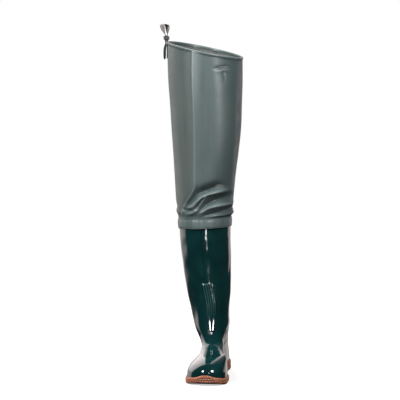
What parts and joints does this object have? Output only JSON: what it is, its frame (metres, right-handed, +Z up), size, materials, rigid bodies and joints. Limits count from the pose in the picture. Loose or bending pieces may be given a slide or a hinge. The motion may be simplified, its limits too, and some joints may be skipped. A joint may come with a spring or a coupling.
{
  "type": "hip wader",
  "caption": "Right hip wader: gum sole with chevron tread, glossy moulded boot with a shin patch, coated-fabric thigh leg with bound slanted mouth, and a belt loop with slider and strap tail.",
  "frame": {"origin": "on the floor under the middle of the heel", "axes": "+X to the inner side of the foot, -Y towards the toe, +Z up the leg"},
  "size_m": [0.2042, 0.33, 0.8713],
  "materials": {
    "gum_rubber": "matt gum rubber, pebbled at the toe",
    "insole_felt": "plain felted sock lining",
    "glossy_boot": "high-gloss moulded dark green",
    "coated_fabric": "satin coated grey-green fabric",
    "grey_webbing": "woven grey webbing",
    "black_webbing": "woven black webbing",
    "black_plastic": "satin moulded plastic"
  },
  "bodies": {
    "root": {"outsole": "gum_rubber", "insole": "insole_felt", "upper": "glossy_boot", "shin_patch": "glossy_boot", "thigh_shaft": "coated_fabric", "collar_band": "coated_fabric", "top_hem": "coated_fabric", "belt_loop": "grey_webbing", "strap_slider": "black_plastic", "strap_tail": "black_webbing"}
  },
  "joints": []
}
